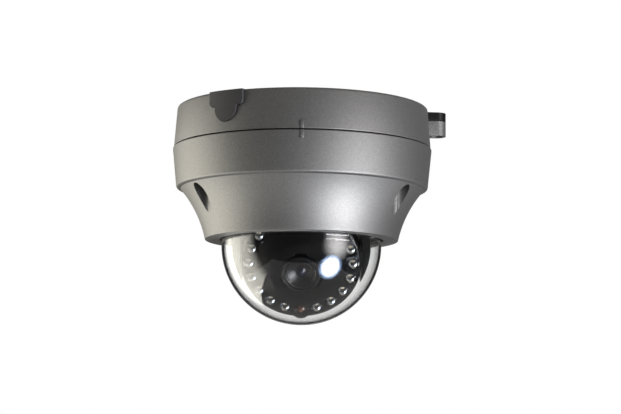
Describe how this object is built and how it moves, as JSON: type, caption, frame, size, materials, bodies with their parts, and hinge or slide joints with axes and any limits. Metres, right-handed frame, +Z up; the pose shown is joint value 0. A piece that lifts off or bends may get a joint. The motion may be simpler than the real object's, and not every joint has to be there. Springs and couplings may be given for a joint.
{
  "type": "dome cctv camera",
  "caption": "Ceiling-mounted dome camera: painted cast housing and clear dome over a pan, tilt and roll camera module with an infrared ring.",
  "frame": {"origin": "centre of the mounting plate's ceiling face", "axes": "+Z up into the ceiling, along the pan axis; -Y is the front, where the lens looks at rest"},
  "size_m": [0.1536, 0.1453, 0.1212],
  "materials": {
    "housing_paint": "champagne-grey metallic paint, satin",
    "black_plastic": "fine matt",
    "soft_black": "matt",
    "clear_dome": "clear polished",
    "steel": "plated",
    "zinc_sheet": "zinc plated",
    "circuit_board": "solder mask",
    "led_resin": "clear resin",
    "sensor_window": "polished",
    "lens_coating": "coated",
    "terminal_green": "moulded"
  },
  "bodies": {
    "base": {"mount_plate": "black_plastic", "base_case": "housing_paint", "conduit_cap": "soft_black", "lock_screw": "steel", "base_seal": "soft_black", "cable_grommet": "soft_black", "standoff_1": "steel", "standoff_2": "steel", "standoff_3": "steel", "power_board": "circuit_board", "terminal_block": "terminal_green", "chassis_plate": "zinc_sheet", "pan_base": "black_plastic", "pan_retainer": "zinc_sheet"},
    "yoke": {"pan_yoke": "black_plastic", "tilt_screw_left": "steel", "tilt_screw_right": "steel"},
    "tilt_ring": {"tilt_frame": "black_plastic"},
    "camera_module": {"module_shell": "black_plastic", "rear_cover": "black_plastic", "front_bezel": "black_plastic", "led_board": "circuit_board", "light_sensor": "sensor_window", "lens_mount": "black_plastic", "sensor_board": "circuit_board", "image_sensor": "black_plastic", "ir_led_01": "led_resin", "ir_led_02": "led_resin", "ir_led_03": "led_resin", "ir_led_04": "led_resin", "ir_led_05": "led_resin", "ir_led_06": "led_resin", "ir_led_07": "led_resin", "ir_led_08": "led_resin", "ir_led_09": "led_resin", "ir_led_10": "led_resin", "ir_led_11": "led_resin", "ir_led_12": "led_resin", "ir_led_13": "led_resin", "ir_led_14": "led_resin", "ir_led_15": "led_resin", "ir_led_16": "led_resin", "ir_led_17": "led_resin", "ir_led_18": "led_resin", "ir_led_19": "led_resin"},
    "lens": {"lens_barrel": "black_plastic", "lens_glass": "lens_coating", "focus_ring": "black_plastic"},
    "cover": {"cover_shell": "housing_paint", "dome": "clear_dome", "dome_gasket": "soft_black", "dome_clamp": "black_plastic", "clamp_screw_1": "steel", "clamp_screw_2": "steel", "clamp_screw_3": "steel", "cover_screw_1": "steel", "cover_screw_2": "steel", "cover_screw_3": "steel"}
  },
  "joints": [
    {"name": "pan", "type": "hinge", "parent": "base", "child": "yoke", "pos_m": [0, 0, -0.0766], "axis": [0, 0, 1], "range_deg": [-177, 177]},
    {"name": "tilt", "type": "hinge", "parent": "yoke", "child": "tilt_ring", "pos_m": [0, 0, -0.0766], "axis": [1, 0, 0], "range_deg": [-33, 57]},
    {"name": "roll", "type": "hinge", "parent": "tilt_ring", "child": "camera_module", "pos_m": [0, 0, -0.0766], "axis": [0, -0.8387, -0.5446], "range_deg": [-175, 175]},
    {"name": "focus", "type": "hinge", "parent": "camera_module", "child": "lens", "pos_m": [0, 0, -0.0766], "axis": [0, -0.8387, -0.5446], "range_deg": [-180, 180]},
    {"name": "cover_release", "type": "slide", "parent": "base", "child": "cover", "axis": [0, 0, -1], "range_m": [0, 0.095]}
  ]
}
